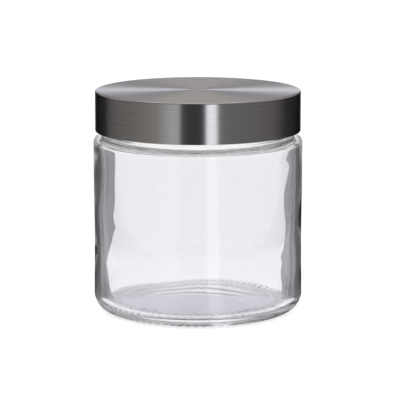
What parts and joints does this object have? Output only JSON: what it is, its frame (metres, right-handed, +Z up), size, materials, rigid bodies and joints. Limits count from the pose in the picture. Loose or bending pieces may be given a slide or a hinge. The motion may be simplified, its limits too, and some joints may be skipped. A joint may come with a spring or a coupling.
{
  "type": "storage canister",
  "caption": "Round clear glass storage canister with a screw lid: a brushed steel cap over a moulded plastic insert, with a flat seal.",
  "frame": {"origin": "centre of the foot, in the plane that the jar stands on", "axes": "+Z up along the axis of the jar and the lid; X and Y are across it"},
  "size_m": [0.106, 0.106, 0.1129],
  "materials": {
    "clear_glass": "clear polished pressed glass",
    "seal_rubber": "smooth translucent white silicone",
    "insert_plastic": "satin white moulded plastic",
    "cap_steel": "fine circular brushing on the top and round the side"
  },
  "bodies": {
    "jar": {"glass_jar": "clear_glass"},
    "seal": {"lid_seal": "seal_rubber"},
    "lid": {"lid_insert": "insert_plastic", "lid_cap": "cap_steel"}
  },
  "joints": [
    {"name": "lid_lift", "type": "slide", "parent": "jar", "child": "seal", "axis": [0, 0, 1], "range_m": [0, 0.0391]},
    {"name": "lid_turn", "type": "hinge", "parent": "seal", "child": "lid", "pos_m": [0, 0, 0.1], "axis": [0, 0, 1], "range_deg": [0, 540]}
  ],
  "couplings": [
    {"joint": "lid_lift", "follows": "lid_turn", "m_per_rad": 0.004138}
  ]
}
